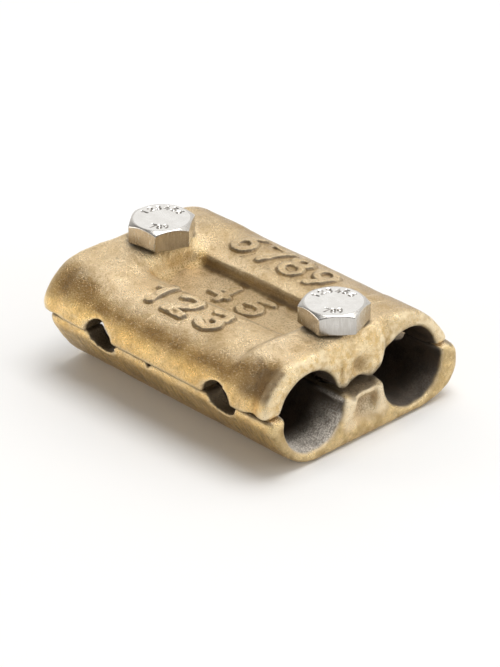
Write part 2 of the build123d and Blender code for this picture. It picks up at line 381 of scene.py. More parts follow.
        # the web's end face: a tilted brow, an upright parting ridge, a crease and a soft dimple
        face = 1 - sstep(0.0, 5.5, s)
        web = sstep(12.0, 8.5, np.abs(y - 1.0)) * sstep(14.5, 16.5, z)
        brow = 1.5 * sstep(24.5, 31.0, z) * sstep(15.0, 9.0, np.abs(y - 1.0))
        hollow = 0.7 * bump1(y, 1.4, 4.6) * bump1(z, 20.4, 3.0)
        ridge = 0.55 * bump1(y, 8.6, 0.8) * bump1(z, 23.0, 4.4)
        valley = 0.45 * bump1(y, 7.0, 0.9) * bump1(z, 23.6, 3.8) + 0.25 * bump1(y, 10.6, 1.2) * bump1(z, 22.5, 3.0)
        plane = 0.9 * sstep(8.4, 12.0, y)
        crease = 0.5 * bump1(y, -6.4, 0.6) * bump1(z, 21.4, 2.8)
        bulge = 0.25 * bump1(y, -3.2, 3.4) * bump1(z, 19.0, 3.2)
        push = -brow + web * (ridge + bulge - hollow - valley - crease - plane)
        co2[:, 0] += e * k * face * push
        # the web's lower edge hangs down in two ragged teeth
        teeth = 1.7 * bump1(y, -5.2, 1.9) + 1.9 * bump1(y, 5.4, 2.6) + 0.5 + 0.45 * n1(co2, 3.0) + 0.25 * n2(co2, 1.5)
        hang = (1 - sstep(1.0, 4.5, s)) * sstep(22.0, 18.2, z) * sstep(16.6, 17.4, z) * sstep(10.0, 8.0, np.abs(y - 0.5))
        co2[:, 2] -= k * hang * teeth
    x = co2[:, 0]
    end = np.minimum(x - UX0, UX1 - x)
    co2 = Lap(me).smooth(co2, 5, 0.5, mask=0.9 * (1 - sstep(2.0, 5.0, end)))
    face = (1 - sstep(0.5, 3.0, end)) * (1 - groove)
    co2 += no * (face * (0.07 * n2(co2, 2.6) + 0.05 * n3(co2, 1.3)))[:, None]
    co2 = np.clip(co2, np.array([UX0, -35.1, 15.3]), np.array([UX1, 34.6, 30.75]))
    set_co(me, co2)
    # the seats stay flat right up to the pocket, so that no slit opens under a head
    no = get_no(me)
    for bx in (-33.6, 33.6):
        r = np.hypot(co2[:, 0] - bx, co2[:, 1])
        seat = (r > 5.5) & (r < 7.8) & (co2[:, 2] > 27.9) & (no[:, 2] > -0.05)
        co2[seat, 2] = BEARING - 0.02
    set_co(me, co2)
    finish_mesh(me)
    paint(me, Lap(me), "upper", mark, np.clip(cove_shade, 0, 1))
    return ob


def build_lower():
    ob = dense_copy("lower_jaw", "cast_lower_jaw")
    me = ob.data
    lap = Lap(me)
    co = lap.smooth(get_co(me), 4, 0.55, -0.5)
    x, y, z = co.T
    end = np.minimum(x - LX0, LX1 - x)
    m = 0.85 * (1 - sstep(1.5, 4.0, end)) * sstep(0.5, 2.0, z)
    co = lap.smooth(co, 12, 0.5, mask=m)
    set_co(me, co)
    no = get_no(me)
    n1, n2, n3 = Noise(21), Noise(22), Noise(23)
    x, y, z = co.T
    groove = groove_depth(co)
    d = 0.16 * n1(co, 12.0) + 0.08 * n2(co, 4.6) + 0.04 * n3(co, 2.1)
    d *= 1 - 0.5 * groove
    bottom = 1 - sstep(0.4, 1.6, z)
    d *= 1 - 0.85 * bottom
    for bx in (-33.6, 33.6):
        r = np.hypot(x - bx, y)
        d *= 1 - (1 - sstep(5.4, 6.0, r))
    d = np.where(no[:, 2] > 0.6, np.minimum(d, 0) * 0.4, d)
    co2 = co + no * d[:, None]
    for e, xe in ((1, LX1), (-1, LX0)):
        k = 1.0 if e > 0 else 0.7
        x, y, z = co2.T
        s = (xe - x) * e
        face = 1 - sstep(0.0, 5.5, s)
        web = sstep(11.5, 8.0, np.abs(y - 0.7)) * sstep(15.5, 14.0, z)
        # two rubbed knobs stand beside an upright hollow, the rest of the web lies further in
        def block(c, w, t=1.1):
            return sstep(w + t, w, np.abs(c))

        kn = block(y + 5.4, 2.5) * block(z - 10.6, 2.6) + block(y - 7.7, 1.9) * block(z - 11.2, 2.8)
        well = 1.9 * bump1(y, 1.9, 2.9) * bump1(z, 9.2, 3.8) + 0.9 * bump1(y, 4.6, 1.0) * bump1(z, 10.6, 2.2)
        base = 0.6 * bump1(y, 0.9, 10.0) * sstep(2.5, 7.5, z)
        co2[:, 0] -= e * k * face * web * ((base + well) * (1 - np.clip(kn, 0, 1)))
        # the web's top rolls down towards the face, and its edge is ragged
        roll = (1 - sstep(1.0, 6.5, s)) * sstep(11.0, 8.0, np.abs(y - 0.7)) * sstep(11.5, 13.8, z)
        top_kn = np.clip(bump1(y, -5.8, 2.0) + bump1(y, 7.6, 1.9), 0, 1)
        co2[:, 2] -= k * roll * (0.9 * (1 - 0.9 * top_kn) + 0.5 * n1(co2, 3.0) + 0.3 * n2(co2, 1.5))
        # faceted inner edge of the near lip
        lip = (1 - sstep(0.5, 3.5, s)) * bump1(y, -30.4, 2.6) * bump1(z, 13.4, 3.2)
        co2[:, 0] -= e * k * lip * (0.4 + 0.3 * n1(co2, 2.5))
    x, y, z = co2.T
    end = np.minimum(x - LX0, LX1 - x)
    co2 = Lap(me).smooth(co2, 5, 0.5, mask=0.9 * (1 - sstep(2.0, 5.0, end)) * sstep(0.5, 2.0, z))
    face = (1 - sstep(0.5, 3.0, end)) * (1 - groove)
    co2 += no * (face * (0.08 * n2(co2, 2.4) + 0.05 * n3(co2, 1.2)))[:, None]
    co2 = np.clip(co2, np.array([LX0, -34.25, 0.0]), np.array([LX1, 36.55, 17.1]))
    set_co(me, co2)
    finish_mesh(me)
    paint(me, Lap(me), "lower", np.zeros(len(co2)), np.zeros(len(co2)))
    return ob


def paint(me, lap, which, mark, cove):
    """per-vertex fields that the bronze material reads"""
    co = get_co(me)
    small = curvature(me, lap, 4, co)
    wide = curvature(me, lap, 40, co)
    attribute(me, "fine_hollow", np.clip(small / 0.10, -1, 1))
    attribute(me, "wide_hollow", np.clip(wide / 0.55, -1, 1))
    g = groove_depth(co)
    x0, x1 = (UX0, UX1) if which == "upper" else (LX0, LX1)
    depth = np.minimum(co[:, 0] - x0, x1 - co[:, 0])
    inside = sstep(0.5, 1.5, depth + 0.35 * Noise(33)(co, 2.4))
    attribute(me, "groove", g)
    attribute(me, "groove_in", g * inside)
    x, y, z = co.T
    no = get_no(me)
    pocket = (
        (1 - sstep(24.3, 25.6, z)) * (np.abs(x) < 27.5) * (np.abs(y) < 12.5) * sstep(23.2, 23.6, z) * (no[:, 2] > 0)
        if which == "upper"
        else np.zeros(len(co))
    )
    n1, n2 = Noise(31), Noise(32)
    # painted light: faces turned sideways get a browner tone as if in shade, tops stay paler as if lit
    shaded_flank = sstep(0.25, 0.75, np.abs(no[:, 1])) * sstep(0.75, 0.3, np.abs(no[:, 0])) * sstep(0.97, 0.80, no[:, 2])
    attribute(me, "shaded_flank", np.clip(shaded_flank * (0.9 + 0.35 * n1(co, 9.0)), 0, 1) * (1 - g))
    tilt = np.degrees(np.arctan2(np.abs(no[:, 1]), no[:, 2]))
    # painted shade: a darker strip along the shoulders where they reflect the dim surroundings, and the far side darker
    shoulder_shade = bump1(tilt, np.where(y < 0, 42.0, 36.0), 17.0) * sstep(0.6, 0.3, np.abs(no[:, 0])) * (z > 20) * (np.abs(y) > 20)
    shoulder_shade = np.maximum(shoulder_shade, 0.75 * sstep(22.5, 27.0, y) * (z > 17))
    shoulder_shade = np.clip(shoulder_shade * (1.0 + 0.5 * n2(co, 6.0)), 0, 1)
    attribute(me, "shoulder", shoulder_shade)
    # painted shade: the far wing darker
    attribute(me, "far_side_shade", sstep(9.0, 12.0, y) * (z > 24))
    # painted highlight: the slope by bolt 1 painted brighter
    attribute(me, "slope_highlight", sstep(-21.5, -24.0, x) * sstep(-31.0, -29.0, x) * (z > 24) * sstep(9.0, 7.0, y) * sstep(-12.5, -10.0, y))
    # painted shadow lines along the pocket's edge on the near wing and along the step by bolt 2
    crease = bump1(y, EDGE_Y + 0.089 * x, 0.45) * (z > 23) * sstep(-23.0, -19.0, x) * sstep(29.0, 25.0, x)
    crease = np.maximum(crease, 0.8 * bump1(x - 0.18 * (y + 18), 28.6, 0.5) * (z > 26) * sstep(-27.0, -24.0, y) * sstep(-9.0, -11.0, y)) if which == "upper" else 0 * y
    # painted shade: the lower jaw's sides darker towards the bottom and down-facing faces darker; the file streaks on
    # them are real
    low_streak_shade = sstep(16.5, 9.0, z) * sstep(0.4, 0.8, np.abs(no[:, 1])) if which == "lower" else np.zeros(len(co))
    under = sstep(-0.15, -0.65, no[:, 2])
    attribute(me, "under", sstep(-0.55, -0.9, no[:, 2]))
    attribute(me, "low_streak_shade", np.clip(np.maximum(low_streak_shade, under) * (0.9 + 0.3 * n2(co, 7.0)), 0, 1))
    # painted light on the groove floors near the mouths, far stronger on the near side
    mouth = g * (1 - sstep(2.0, 13.0, np.minimum(x - x0, x1 - x))) * sstep(0.1, 0.7, no[:, 2])
    mouth = np.clip(mouth * np.where(y < 0, 1.6, 0.12), 0, 1)
    attribute(me, "mouth", mouth)
    # seam and painted shade: the seam line; painted shade on the notch walls, painted shadow rings round the bolt
    # seats, painted shade on the pocket wall, the flanks of the figures, the creases, the cove and the gap between the
    # webs
    near = y < 0
    seam = np.where(near, SEAM_A, SEAM_B)
    outer_y = np.where(near, -34.3 - y, y - 34.6)  # < 0 inside the outer face
    line = bump1(z, seam + (0.1 if which == "upper" else -0.1), 0.42) * sstep(-1.8, -1.0, outer_y)
    xs = (-22.0, 24.2) if which == "upper" else (-21.3, 25.8)
    # painted shade in the notches and a nick by the seam, also over the highlight on their rims
    notch = np.zeros(len(co))
    for nx in xs:
        notch = np.maximum(notch, sstep(7.2, 6.2, np.abs(x - nx)) * sstep(6.5, 5.5, np.abs(z - seam)))
    up = 1.0 if which == "upper" else -1.0
    wall_like = np.maximum(
        sstep(0.85, 0.6, np.abs(no[:, 1])) * sstep(0.35, 0.1, up * no[:, 2]), sstep(0.45, 0.7, np.abs(no[:, 0]))
    )
    notch *= wall_like * sstep(-0.05, -0.4, outer_y) * (np.abs(y) > 25)
    nick = sstep(2.0, 1.5, np.abs(x + 2.6)) * sstep(2.6, 2.0, np.abs(z - seam + 0.6)) * sstep(-0.15, -0.6, outer_y) * (y < -30)
    notch = np.maximum(notch, nick)
    # painted shade over the highlight on the top-facing lip edges beside the seam
    line = np.maximum(line, 0.9 * sstep(0.35, 0.75, np.abs(no[:, 2])) * sstep(0.9, 0.5, np.abs(z - seam)) * (np.abs(y) > 28) * sstep(-1.5, -0.9, outer_y) * sstep(-0.05, -0.3, outer_y))
    # painted shadow of the bolt heads: a ring round each seat
    ring = np.zeros(len(co))
    for bx in (-33.6, 33.6):
        r = np.hypot(x - bx, y)
        ring = np.maximum(ring, sstep(10.4, 8.7, r + 0.5 * n2(co, 2.0)) * sstep(29.3, 29.9, z) * sstep(0.8, 0.95, no[:, 2]))
    # painted shade on the pocket's far wall
    wall = (
        sstep(3.9, 4.9, y) * sstep(8.2, 6.6, y) * sstep(28.0, 26.0, x) * sstep(-24.5, -21.0, x) * sstep(0.96, 0.80, no[:, 2]) * (z > 22)
        if which == "upper"
        else np.zeros(len(co))
    )
    # painted shade on the flanks of the figures, heaviest on those facing -y
    rel = mark / max(mark.max(), 1e-6)
    steep = sstep(0.93, 0.80, no[:, 2])
    foot = sstep(0.02, 0.12, rel) * steep * np.maximum(sstep(-0.05, -0.30, no[:, 1] - 0.5 * no[:, 0]), 0.45)
    # painted shade in the gap between the upper and lower webs, spared on the knobs
    gap = (
        sstep(11.5, 10.0, np.abs(y - 0.5)) * sstep(19.4, 18.6, z) * sstep(0.2, -0.4, no[:, 2])
        if which == "upper"
        else sstep(11.5, 10.0, np.abs(y - 0.5)) * sstep(11.8, 12.8, z) * sstep(0.35, 0.7, no[:, 2])
        * (1 - 0.85 * np.clip(bump1(y, -5.8, 2.0) + bump1(y, 7.6, 1.9), 0, 1) * (1 - sstep(1.5, 4.0, x1 - x)))
    )
    seam_and_shade = np.maximum.reduce([0.5 * cove * (0.85 + 0.5 * n1(co, 2.5)), 0.5 * crease * (0.8 + 0.5 * n1(co, 3.0)), 0.85 * line, 0.95 * notch, 0.9 * ring, 0.8 * wall, 0.9 * foot, 0.95 * gap])
    attribute(me, "seam_and_shade", np.clip(seam_and_shade * (1 - 0.6 * g), 0, 1))
    attribute(me, "at_end", (1 - sstep(0.6, 3.4, depth)) * (1 - cove) * (1.0 if which == "upper" else 0.55))
    # darkens the web's dimple, crease and valley on the upper jaw's ends, and a narrow upright line in the lower web's
    # well
    web_darkening = (1 - sstep(1.0, 4.0, depth)) * np.maximum(0.9 * bump1(y, 1.6, 2.2) * bump1(z, 19.8, 2.0), 0.85 * bump1(y, -6.4, 0.7) * bump1(z, 21.6, 2.6))
    web_darkening = np.maximum(web_darkening, (1 - sstep(1.0, 4.0, depth)) * 0.55 * bump1(y, 10.2, 1.0) * bump1(z, 23.0, 3.6))
    if which == "lower":
        web_darkening = (1 - sstep(3.0, 5.0, depth)) * 0.8 * bump1(y, 5.0, 0.8) * bump1(z, 10.4, 3.0)
    attribute(me, "web_darkening", np.clip(web_darkening, 0, 1))
    # painted shade behind the near lips
    attribute(me, "cove", cove)
    # painted light: the lower web's well and knobs painted paler, lifting the shade in the well
    web_painted_light = np.zeros(len(co))
    if which == "lower":
        web_painted_light = (1 - sstep(3.0, 5.0, depth)) * sstep(9.8, 6.6, np.abs(y - 1.0)) * sstep(3.2, 7.2, z + 0.8 * n1(co, 2.5)) * sstep(14.6, 13.2, z)
    attribute(me, "web_painted_light", web_painted_light)
    end_low = (1 - sstep(2.0, 4.5, depth)) * sstep(-0.2, 0.2, np.abs(no[:, 0]) - 0.3) * (1 - np.clip(web_painted_light * 1.3, 0, 1))
    attribute(me, "end_low", end_low * (1 - g) if which == "lower" else 0 * y)
    attribute(me, "pocket", pocket)
    attribute(me, "mark", mark)


# ------------------------------------------------------------------ node helpers
class Tree:
    def __init__(self, name):
        self.m = bpy.data.materials.new(name)
        self.m.use_nodes = True
        self.t = self.m.node_tree
        self.t.nodes.clear()
        self.out = self.t.nodes.new("ShaderNodeOutputMaterial")
        self.b = self.t.nodes.new("ShaderNodeBsdfPrincipled")
        self.t.links.new(self.b.outputs[0], self.out.inputs[0])
        self.obj = self.t.nodes.new("ShaderNodeTexCoord").outputs["Object"]

    def link(self, a, b):
        self.t.links.new(a, b)

    def noise(self, scale, detail=3.0, rough=0.55, vec=None, dist=0.0):
        n = self.t.nodes.new("ShaderNodeTexNoise")
        n.inputs["Scale"].default_value = scale
        n.inputs["Detail"].default_value = detail
        n.inputs["Roughness"].default_value = rough
        n.inputs["Distortion"].default_value = dist
        self.link(vec if vec is not None else self.obj, n.inputs["Vector"])
        return n.outputs["Fac"]

    def voronoi(self, scale, feature="F1", vec=None):
        n = self.t.nodes.new("ShaderNodeTexVoronoi")
        n.feature = feature
        n.inputs["Scale"].default_value = scale
        self.link(vec if vec is not None else self.obj, n.inputs["Vector"])
        return n.outputs["Distance"]

    def attr(self, name):
        n = self.t.nodes.new("ShaderNodeAttribute")
        n.attribute_name = name
        return n.outputs["Fac"]

    def scaled(self, x, y, z, vec=None):
        n = self.t.nodes.new("ShaderNodeMapping")
        n.inputs["Scale"].default_value = (x, y, z)
        self.link(vec if vec is not None else self.obj, n.inputs["Vector"])
        return n.outputs[0]

    def put(self, socket, v):
        if isinstance(v, (int, float)):
            socket.default_value = v
        elif isinstance(v, (tuple, list)):
            socket.default_value = tuple(v) if len(v) == 4 else (*v, 1.0)
        else:
            self.link(v, socket)

    def math(self, op, a, b=0.0, c=0.0, clamp=False):
        n = self.t.nodes.new("ShaderNodeMath")
        n.operation = op
        n.use_clamp = clamp
        self.put(n.inputs[0], a)
        self.put(n.inputs[1], b)
        self.put(n.inputs[2], c)
        return n.outputs[0]

    def ramp(self, v, a, b, lo=0.0, hi=1.0):
        """smooth map of v from [a, b] to [lo, hi]"""
        n = self.t.nodes.new("ShaderNodeMapRange")
        n.interpolation_type = "SMOOTHSTEP"
        self.put(n.inputs["Value"], v)
        n.inputs["From Min"].default_value = a
        n.inputs["From Max"].default_value = b
        n.inputs["To Min"].default_value = lo
        n.inputs["To Max"].default_value = hi
        return n.outputs[0]

    def mix(self, f, a, b, mode="MIX"):
        n = self.t.nodes.new("ShaderNodeMix")
        n.data_type = "RGBA"
        n.blend_type = mode
        n.clamp_factor = True
        self.put(n.inputs[0], f)
        self.put(n.inputs[6], a)
        self.put(n.inputs[7], b)
        return n.outputs[2]

    def bump(self, h, strength, dist, normal=None):
        n = self.t.nodes.new("ShaderNodeBump")
        n.inputs["Strength"].default_value = strength
        n.inputs["Distance"].default_value = dist
        self.link(h, n.inputs["Height"])
        if normal is not None:
            self.link(normal, n.inputs["Normal"])
        return n.outputs[0]


def srgb(r, g, b):
    def f(c):
        c /= 255.0
        return c / 12.92 if c <= 0.04045 else ((c + 0.055) / 1.055) ** 2.4

    return (f(r), f(g), f(b), 1.0)


def bronze():
    k = Tree("cast_bronze")
    big = k.noise(60, 3, 0.55)
    mid = k.noise(260, 4, 0.6)
    fine = k.noise(2300, 3, 0.7)
    grit = k.noise(4800, 2, 0.6)
    streak = k.noise(1500, 2, 0.5, vec=k.scaled(1.0, 0.16, 0.12))
    fine_h, wide_h = k.attr("fine_hollow"), k.attr("wide_hollow")
    groove, groove_in, pocket = k.attr("groove"), k.attr("groove_in"), k.attr("pocket")
    shaded_flank, low_streak_shade, mouth = k.attr("shaded_flank"), k.attr("low_streak_shade"), k.attr("mouth")
    # painted light: a paler top as if lit and browner flanks as if in shade; darkest towards the bottom, painted shade
    col = k.mix(k.ramp(big, 0.30, 0.70), (0.72, 0.545, 0.315), (0.86, 0.685, 0.445))
    # the browner flank tone, painted shade
    side = k.mix(k.ramp(big, 0.30, 0.70), (0.78, 0.50, 0.17), (0.94, 0.645, 0.24))
    col = k.mix(k.math("MULTIPLY", shaded_flank, 0.95), col, side)
    # painted shade on the shoulders and behind the near lips
    shoulder_cove_shade = k.math("MULTIPLY", k.attr("shoulder"), k.ramp(fine, 0.30, 0.62, 0.55, 1.0))
    shoulder_cove_shade = k.math("MAXIMUM", shoulder_cove_shade, k.math("MULTIPLY", k.attr("cove"), k.ramp(fine, 0.30, 0.62, 0.75, 1.0)))
    brown = k.mix(k.ramp(fine, 0.36, 0.62), (0.13, 0.070, 0.022), (0.33, 0.195, 0.070))
    col = k.mix(k.math("MULTIPLY", shoulder_cove_shade, 1.15, clamp=True), col, brown)
    # painted shade towards the bottom and on down-facing faces, over real file streaks
    lowc = k.mix(k.ramp(streak, 0.38, 0.64), (0.17, 0.110, 0.042), (0.56, 0.395, 0.15))
    lowc = k.mix(k.math("MULTIPLY", k.attr("under"), 0.9), lowc, k.mix(k.ramp(mid, 0.35, 0.65), (0.52, 0.375, 0.17), (0.38, 0.26, 0.11)))
    col = k.mix(k.math("MULTIPLY", low_streak_shade, 0.85), col, lowc)
    clean = k.math("SUBTRACT", 1.0, k.math("MULTIPLY", k.attr("at_end"), 0.30))
    col = k.mix(k.math("MULTIPLY", k.attr("at_end"), 0.75), col, k.mix(k.ramp(k.noise(480, 3, 0.6), 0.38, 0.66), (0.97, 0.80, 0.50), (0.72, 0.50, 0.20)))
    # painted shade on the far wing
    col = k.mix(k.math("MULTIPLY", k.attr("far_side_shade"), 0.42), col, (0.46, 0.335, 0.18))
    col = k.mix(k.math("MULTIPLY", k.math("MULTIPLY", k.ramp(mid, 0.46, 0.70), 0.55), clean), col, (0.44, 0.29, 0.12))
    col = k.mix(k.math("MULTIPLY", k.math("MULTIPLY", k.ramp(fine, 0.52, 0.68), 0.66), clean), col, (0.30, 0.175, 0.06))
    col = k.mix(k.math("MULTIPLY", k.ramp(fine, 0.46, 0.30), 0.45), col, (0.92, 0.78, 0.56))
    pits = k.ramp(k.voronoi(420), 0.16, 0.06)
    pits = k.math("MULTIPLY", pits, k.ramp(k.noise(150, 2), 0.60, 0.72))
    col = k.mix(k.math("MULTIPLY", pits, 0.7), col, (0.10, 0.06, 0.025))
    # hollows hold brown tarnish and painted shade; ridges get a painted highlight, stronger at the ends
    hollow = k.math("ADD", k.math("MULTIPLY", k.ramp(wide_h, 0.15, 0.95), 0.55), k.math("MULTIPLY", k.ramp(fine_h, 0.06, 0.7), 0.7))
    hollow = k.math("MULTIPLY", hollow, k.ramp(mid, 0.25, 0.6, 0.5, 1.0), clamp=True)
    # the ends and the highlighted slope by bolt 1 take less hollow darkening
    end_and_slope = k.math("MAXIMUM", k.attr("at_end"), k.attr("slope_highlight"))
    hollow = k.math("MULTIPLY", hollow, k.math("SUBTRACT", 1.0, k.math("MULTIPLY", end_and_slope, 0.9)))
    col = k.mix(k.math("MULTIPLY", hollow, 0.9), col, (0.20, 0.115, 0.038))
    # painted highlight on ridges, stronger at the ends
    ridge = k.math("MULTIPLY", k.ramp(fine_h, -0.10, -0.75), k.ramp(mid, 0.3, 0.6, 0.5, 1.0))
    ridge = k.math("MULTIPLY", ridge, k.math("ADD", 0.35, k.math("MULTIPLY", k.attr("at_end"), 0.5)))
    col = k.mix(ridge, col, (0.93, 0.80, 0.56))
    col = k.mix(k.math("MULTIPLY", k.attr("end_low"), 0.7), col, k.mix(k.ramp(mid, 0.4, 0.6), (0.70, 0.52, 0.24), (0.40, 0.27, 0.10)))
    # painted light in the lower web's well
    col = k.mix(k.math("MULTIPLY", k.attr("web_painted_light"), k.ramp(fine, 0.40, 0.60, 0.2, 0.75)), col, (0.93, 0.82, 0.62))
    col = k.mix(k.math("MULTIPLY", k.attr("web_darkening"), k.ramp(fine, 0.36, 0.60, 0.5, 1.0)), col, (0.24, 0.145, 0.05))
    # painted highlight on the slope by bolt 1
    col = k.mix(k.math("MULTIPLY", k.attr("slope_highlight"), 0.6), col, k.mix(k.ramp(fine, 0.42, 0.62), (0.93, 0.76, 0.46), (0.62, 0.44, 0.18)))
    # the seam line and painted shade, near-black brown
    seam_and_shade = k.math("MULTIPLY", k.attr("seam_and_shade"), k.ramp(fine, 0.30, 0.60, 0.72, 1.0))
    col = k.mix(k.math("MULTIPLY", seam_and_shade, 0.93), col, (0.065, 0.040, 0.018))
    # sandy pocket floor
    col = k.mix(k.math("MULTIPLY", k.math("MULTIPLY", pocket, k.ramp(fine, 0.48, 0.64)), 0.45), col, (0.30, 0.21, 0.10))
    # grooves: raw skin in painted shade, near-black brown; painted light, greyer and sandy, on the lower mouths where
    # the light enters
    groove_shade = k.mix(k.ramp(mid, 0.35, 0.7), (0.020, 0.012, 0.008), (0.060, 0.038, 0.024))
    mouth_light = k.mix(k.ramp(fine, 0.38, 0.62), (0.42, 0.36, 0.30), (1.0, 0.95, 0.87))
    groove_shade = k.mix(k.math("MULTIPLY", mouth, k.ramp(mid, 0.3, 0.6, 0.6, 1.0)), groove_shade, mouth_light)
    col = k.mix(k.math("MULTIPLY", groove_in, 0.96), col, groove_shade)
    k.link(col, k.b.inputs["Base Color"])
    # the painted shade in the grooves and the seam-and-shade areas loses metal sheen
    dull = k.math("MAXIMUM", k.math("MULTIPLY", groove_in, 0.7), k.math("MULTIPLY", seam_and_shade, 0.9))
    k.link(k.math("SUBTRACT", 1.0, dull), k.b.inputs["Metallic"])
    rough = k.math("ADD", k.ramp(mid, 0.3, 0.7, 0.27, 0.37), k.ramp(fine, 0.35, 0.7, -0.06, 0.10))
    rough = k.math("ADD", rough, k.math("MULTIPLY", hollow, 0.14))
    rough = k.math("ADD", rough, k.math("MULTIPLY", groove_in, 0.2))
    rough = k.math("ADD", rough, k.math("MULTIPLY", pocket, 0.05))
    k.link(rough, k.b.inputs["Roughness"])
    h = k.math("ADD", k.math("MULTIPLY", mid, 0.7), k.math("MULTIPLY", fine, 0.5))
    h = k.math("ADD", h, k.math("MULTIPLY", grit, 0.42))
    h = k.math("SUBTRACT", h, k.math("MULTIPLY", pits, 0.5))
    h = k.math("ADD", h, k.math("MULTIPLY", k.math("MULTIPLY", k.math("SUBTRACT", low_streak_shade, k.attr("under"), clamp=True), streak), 0.3))
    h = k.math("ADD", h, k.math("MULTIPLY", k.math("MULTIPLY", pocket, fine), 0.5))
    k.link(k.bump(h, 0.95, 0.00042), k.b.inputs["Normal"])
    return k.m


def stainless():
    k = Tree("stainless")
    v = k.scaled(1.0, 1.0, 0.12)
    lines = k.noise(2600, 2, 0.5, vec=v)
    mid = k.noise(350, 3, 0.55)
    fine = k.noise(2600, 3, 0.6)
    col = k.mix(k.ramp(lines, 0.35, 0.68), (0.55, 0.525, 0.49), (0.64, 0.62, 0.59))
    # painted highlight: the top disc is painted far brighter than the flanks, which stand in shade
    disc = k.attr("disc")
    col = k.mix(disc, col, k.mix(k.ramp(mid, 0.30, 0.75), (0.86, 0.845, 0.82), (0.93, 0.92, 0.90)))
    col = k.mix(k.math("MULTIPLY", k.attr("rim"), 0.6), col, (0.42, 0.39, 0.35))
    col = k.mix(k.math("MULTIPLY", k.attr("stamp"), 0.88), col, (0.12, 0.095, 0.07))
    # painted shade towards the foot of the head
    col = k.mix(k.math("MULTIPLY", k.attr("head_foot_shade"), 0.82), col, (0.17, 0.135, 0.09))
    k.link(col, k.b.inputs["Base Color"])
    k.put(k.b.inputs["Metallic"], 1.0)
    k.link(k.math("ADD", k.ramp(mid, 0.3, 0.7, 0.20, 0.25), k.ramp(lines, 0.3, 0.7, -0.02, 0.04)), k.b.inputs["Roughness"])
    h = k.math("ADD", k.math("MULTIPLY", lines, 0.5), k.math("MULTIPLY", fine, 0.35))
    k.link(k.bump(h, 0.16, 0.00006), k.b.inputs["Normal"])
    return k.m


# ------------------------------------------------------------------ bolts
def grid_faces(rows, cols, base):
    f = []
    for i in range(rows - 1):
        for j in range(cols):
            j2 = (j + 1) % cols
            f.append((base + i * cols + j, base + i * cols + j2, base + (i + 1) * cols + j2, base + (i + 1) * cols + j))
    return f


